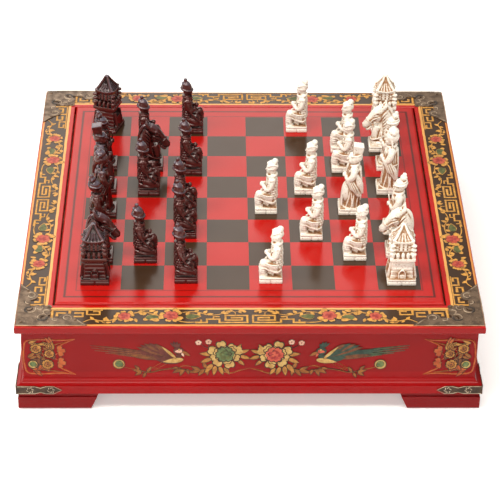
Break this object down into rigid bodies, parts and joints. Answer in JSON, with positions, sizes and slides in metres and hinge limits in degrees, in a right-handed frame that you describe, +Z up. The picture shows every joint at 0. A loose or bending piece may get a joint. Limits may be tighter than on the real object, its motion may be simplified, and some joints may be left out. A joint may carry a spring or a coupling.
{
  "type": "chess box",
  "caption": "Square red-lacquered storage box on bracket feet, with a lift-out chequered board as its lid and light and dark carved chessmen, standing and kneeling.",
  "frame": {"origin": "centre of the box's footprint, on the surface that the four feet stand on", "axes": "+Z up; -Y is the front face; +X is to the right, the side where the ivory army stands"},
  "size_m": [0.4498, 0.4498, 0.178],
  "materials": {
    "frame_lacquer": "gloss red lacquer",
    "case_lacquer": "gloss red lacquer",
    "moulding_lacquer": "gloss red lacquer",
    "board_lacquer": "gloss lacquer, red and dark brown fields",
    "inner_wood": "thin stain",
    "antique_brass": "antiqued, worn",
    "lining_felt": "short nap",
    "dark_resin": "gloss",
    "ivory_resin": "satin with an antique wash"
  },
  "bodies": {
    "root": {"top_rail_front": "frame_lacquer", "top_rail_right": "frame_lacquer", "top_rail_back": "frame_lacquer", "top_rail_left": "frame_lacquer", "case_wall_front": "case_lacquer", "case_wall_right": "case_lacquer", "case_wall_back": "case_lacquer", "case_wall_left": "case_lacquer", "base_moulding_front": "moulding_lacquer", "base_moulding_right": "moulding_lacquer", "base_moulding_back": "moulding_lacquer", "base_moulding_left": "moulding_lacquer", "foot_front_left": "moulding_lacquer", "foot_front_right": "moulding_lacquer", "foot_back_right": "moulding_lacquer", "foot_back_left": "moulding_lacquer", "corner_plates": "antique_brass", "plate_nails": "antique_brass", "base_straps": "antique_brass", "board_ledges": "inner_wood", "bottom_panel": "inner_wood", "well_partition": "inner_wood", "well_lining": "lining_felt"},
    "board": {"board_panel": "board_lacquer"},
    "dark_rook_1": {"dark_rook_1": "dark_resin"},
    "dark_rook_2": {"dark_rook_2": "dark_resin"},
    "dark_knight_1": {"dark_knight_1": "dark_resin"},
    "dark_knight_2": {"dark_knight_2": "dark_resin"},
    "dark_bishop_1": {"dark_bishop_1": "dark_resin"},
    "dark_bishop_2": {"dark_bishop_2": "dark_resin"},
    "dark_queen": {"dark_queen": "dark_resin"},
    "dark_king": {"dark_king": "dark_resin"},
    "dark_pawn_1": {"dark_pawn_1": "dark_resin"},
    "dark_pawn_2": {"dark_pawn_2": "dark_resin"},
    "dark_pawn_3": {"dark_pawn_3": "dark_resin"},
    "dark_pawn_4": {"dark_pawn_4": "dark_resin"},
    "dark_pawn_5": {"dark_pawn_5": "dark_resin"},
    "dark_pawn_6": {"dark_pawn_6": "dark_resin"},
    "dark_pawn_7": {"dark_pawn_7": "dark_resin"},
    "dark_pawn_8": {"dark_pawn_8": "dark_resin"},
    "ivory_rook_1": {"ivory_rook_1": "ivory_resin"},
    "ivory_rook_2": {"ivory_rook_2": "ivory_resin"},
    "ivory_knight_1": {"ivory_knight_1": "ivory_resin"},
    "ivory_knight_2": {"ivory_knight_2": "ivory_resin"},
    "ivory_bishop_1": {"ivory_bishop_1": "ivory_resin"},
    "ivory_bishop_2": {"ivory_bishop_2": "ivory_resin"},
    "ivory_queen": {"ivory_queen": "ivory_resin"},
    "ivory_king": {"ivory_king": "ivory_resin"},
    "ivory_pawn_1": {"ivory_pawn_1": "ivory_resin"},
    "ivory_pawn_2": {"ivory_pawn_2": "ivory_resin"},
    "ivory_pawn_3": {"ivory_pawn_3": "ivory_resin"},
    "ivory_pawn_4": {"ivory_pawn_4": "ivory_resin"},
    "ivory_pawn_5": {"ivory_pawn_5": "ivory_resin"},
    "ivory_pawn_6": {"ivory_pawn_6": "ivory_resin"},
    "ivory_pawn_7": {"ivory_pawn_7": "ivory_resin"},
    "ivory_pawn_8": {"ivory_pawn_8": "ivory_resin"}
  },
  "joints": [
    {"name": "board_lift", "type": "slide", "parent": "root", "child": "board", "axis": [0, 0, 1], "range_m": [0, 0.06]},
    {"name": "dark_rook_1_lift", "type": "slide", "parent": "board", "child": "dark_rook_1", "axis": [0, 0, 1], "range_m": [0, 0.1]},
    {"name": "dark_rook_2_lift", "type": "slide", "parent": "board", "child": "dark_rook_2", "axis": [0, 0, 1], "range_m": [0, 0.1]},
    {"name": "dark_knight_1_lift", "type": "slide", "parent": "board", "child": "dark_knight_1", "axis": [0, 0, 1], "range_m": [0, 0.1]},
    {"name": "dark_knight_2_lift", "type": "slide", "parent": "board", "child": "dark_knight_2", "axis": [0, 0, 1], "range_m": [0, 0.1]},
    {"name": "dark_bishop_1_lift", "type": "slide", "parent": "board", "child": "dark_bishop_1", "axis": [0, 0, 1], "range_m": [0, 0.1]},
    {"name": "dark_bishop_2_lift", "type": "slide", "parent": "board", "child": "dark_bishop_2", "axis": [0, 0, 1], "range_m": [0, 0.1]},
    {"name": "dark_queen_lift", "type": "slide", "parent": "board", "child": "dark_queen", "axis": [0, 0, 1], "range_m": [0, 0.1]},
    {"name": "dark_king_lift", "type": "slide", "parent": "board", "child": "dark_king", "axis": [0, 0, 1], "range_m": [0, 0.1]},
    {"name": "dark_pawn_1_lift", "type": "slide", "parent": "board", "child": "dark_pawn_1", "axis": [0, 0, 1], "range_m": [0, 0.1]},
    {"name": "dark_pawn_2_lift", "type": "slide", "parent": "board", "child": "dark_pawn_2", "axis": [0, 0, 1], "range_m": [0, 0.1]},
    {"name": "dark_pawn_3_lift", "type": "slide", "parent": "board", "child": "dark_pawn_3", "axis": [0, 0, 1], "range_m": [0, 0.1]},
    {"name": "dark_pawn_4_lift", "type": "slide", "parent": "board", "child": "dark_pawn_4", "axis": [0, 0, 1], "range_m": [0, 0.1]},
    {"name": "dark_pawn_5_lift", "type": "slide", "parent": "board", "child": "dark_pawn_5", "axis": [0, 0, 1], "range_m": [0, 0.1]},
    {"name": "dark_pawn_6_lift", "type": "slide", "parent": "board", "child": "dark_pawn_6", "axis": [0, 0, 1], "range_m": [0, 0.1]},
    {"name": "dark_pawn_7_lift", "type": "slide", "parent": "board", "child": "dark_pawn_7", "axis": [0, 0, 1], "range_m": [0, 0.1]},
    {"name": "dark_pawn_8_lift", "type": "slide", "parent": "board", "child": "dark_pawn_8", "axis": [0, 0, 1], "range_m": [0, 0.1]},
    {"name": "ivory_rook_1_lift", "type": "slide", "parent": "board", "child": "ivory_rook_1", "axis": [0, 0, 1], "range_m": [0, 0.1]},
    {"name": "ivory_rook_2_lift", "type": "slide", "parent": "board", "child": "ivory_rook_2", "axis": [0, 0, 1], "range_m": [0, 0.1]},
    {"name": "ivory_knight_1_lift", "type": "slide", "parent": "board", "child": "ivory_knight_1", "axis": [0, 0, 1], "range_m": [0, 0.1]},
    {"name": "ivory_knight_2_lift", "type": "slide", "parent": "board", "child": "ivory_knight_2", "axis": [0, 0, 1], "range_m": [0, 0.1]},
    {"name": "ivory_bishop_1_lift", "type": "slide", "parent": "board", "child": "ivory_bishop_1", "axis": [0, 0, 1], "range_m": [0, 0.1]},
    {"name": "ivory_bishop_2_lift", "type": "slide", "parent": "board", "child": "ivory_bishop_2", "axis": [0, 0, 1], "range_m": [0, 0.1]},
    {"name": "ivory_queen_lift", "type": "slide", "parent": "board", "child": "ivory_queen", "axis": [0, 0, 1], "range_m": [0, 0.1]},
    {"name": "ivory_king_lift", "type": "slide", "parent": "board", "child": "ivory_king", "axis": [0, 0, 1], "range_m": [0, 0.1]},
    {"name": "ivory_pawn_1_lift", "type": "slide", "parent": "board", "child": "ivory_pawn_1", "axis": [0, 0, 1], "range_m": [0, 0.1]},
    {"name": "ivory_pawn_2_lift", "type": "slide", "parent": "board", "child": "ivory_pawn_2", "axis": [0, 0, 1], "range_m": [0, 0.1]},
    {"name": "ivory_pawn_3_lift", "type": "slide", "parent": "board", "child": "ivory_pawn_3", "axis": [0, 0, 1], "range_m": [0, 0.1]},
    {"name": "ivory_pawn_4_lift", "type": "slide", "parent": "board", "child": "ivory_pawn_4", "axis": [0, 0, 1], "range_m": [0, 0.1]},
    {"name": "ivory_pawn_5_lift", "type": "slide", "parent": "board", "child": "ivory_pawn_5", "axis": [0, 0, 1], "range_m": [0, 0.1]},
    {"name": "ivory_pawn_6_lift", "type": "slide", "parent": "board", "child": "ivory_pawn_6", "axis": [0, 0, 1], "range_m": [0, 0.1]},
    {"name": "ivory_pawn_7_lift", "type": "slide", "parent": "board", "child": "ivory_pawn_7", "axis": [0, 0, 1], "range_m": [0, 0.1]},
    {"name": "ivory_pawn_8_lift", "type": "slide", "parent": "board", "child": "ivory_pawn_8", "axis": [0, 0, 1], "range_m": [0, 0.1]}
  ]
}
